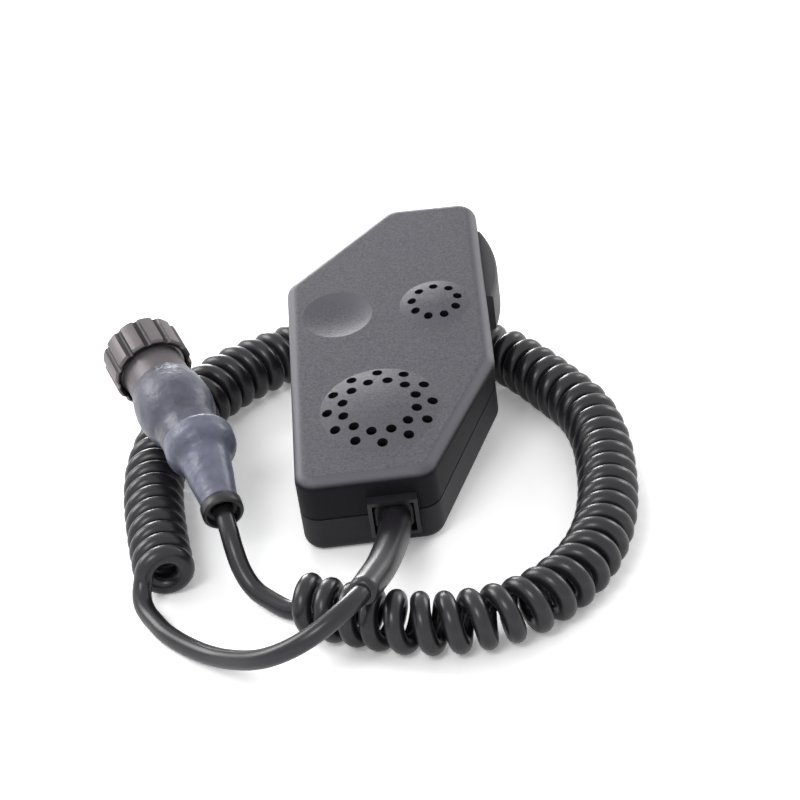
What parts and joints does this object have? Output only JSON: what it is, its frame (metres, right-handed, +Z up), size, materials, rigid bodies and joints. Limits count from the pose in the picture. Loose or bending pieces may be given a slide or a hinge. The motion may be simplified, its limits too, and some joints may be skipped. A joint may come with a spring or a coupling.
{
  "type": "handheld microphone",
  "caption": "Handheld speaker microphone with a hinged talk bar, curly cord and multipin plug with a lobed coupling nut.",
  "frame": {"origin": "centre of the case's bounding box at its lowest point, on the table", "axes": "+Z up from the table, +Y from the cable collar towards the case's top end, +X towards the talk bar"},
  "size_m": [0.161, 0.2014, 0.0508],
  "materials": {
    "face_plastic": "moulded plastic with a fine grain",
    "back_plastic": "moulded plastic, darker, fine grain",
    "bar_rubber": "soft matt rubber skin",
    "black_rubber": "plain soft rubber",
    "cord_rubber": "glossy rubber sheath",
    "shrink": "smooth shrink tube, blue grey",
    "plug_metal": "dull anodised",
    "nut_metal": "dull anodised, warm grey",
    "insulator": "hard insulator",
    "contacts": "plated",
    "steel": "bright steel",
    "screw_black": "blackened steel",
    "foam": "open foam",
    "cloth": "fine black cloth",
    "cone_paper": "treated film",
    "magnet": "ground ferrite",
    "board": "lacquered board",
    "chip": "moulded chips"
  },
  "bodies": {
    "microphone": {"front_shell": "face_plastic", "rear_shell": "back_plastic", "case_seal": "black_rubber", "case_screws": "screw_black", "speaker_foam": "foam", "speaker_cloth": "cloth", "speaker_frame": "steel", "speaker_cone": "cone_paper", "speaker_magnet": "magnet", "capsule_boot": "black_rubber", "voice_capsule": "steel", "circuit_board": "board", "board_chips": "chip", "board_screws": "steel", "switch_body": "chip", "switch_boot": "black_rubber", "hinge_pin": "steel", "hang_up_stud": "steel", "stud_screw": "steel", "cable_collar": "back_plastic", "cable_bush": "black_rubber", "cable_stop": "steel", "strain_relief": "cord_rubber", "mic_lead": "cord_rubber", "curly_cord": "cord_rubber", "plug_lead": "cord_rubber", "end_ring": "black_rubber", "sleeve_rear": "shrink", "sleeve_front": "shrink", "plug_body": "plug_metal", "plug_insert": "insulator", "plug_pins": "contacts", "nut_clip": "steel", "plug_seal": "black_rubber"},
    "bar": {"talk_bar": "bar_rubber"},
    "plunger": {"switch_plunger": "insulator"},
    "nut": {"coupling_nut": "nut_metal"}
  },
  "joints": [
    {"name": "talk_bar_hinge", "type": "hinge", "parent": "microphone", "child": "bar", "pos_m": [0.02417, 0.05012, 0.03508], "axis": [0.0305, 0.1753, -0.984], "range_deg": [0, 2.8], "stiffness_Nm_per_rad": 0.6, "springref_deg": -5.73},
    {"name": "plunger_slide", "type": "slide", "parent": "microphone", "child": "plunger", "axis": [-0.9995, 0.0054, -0.0301], "range_m": [0, 0.0011]},
    {"name": "nut_turn", "type": "hinge", "parent": "microphone", "child": "nut", "pos_m": [-0.07671, -0.00146, 0.0335], "axis": [-0.353, 0.9158, 0.1914], "continuous": true}
  ],
  "couplings": [
    {"joint": "plunger_slide", "follows": "talk_bar_hinge", "m_per_rad": 0.0205}
  ]
}
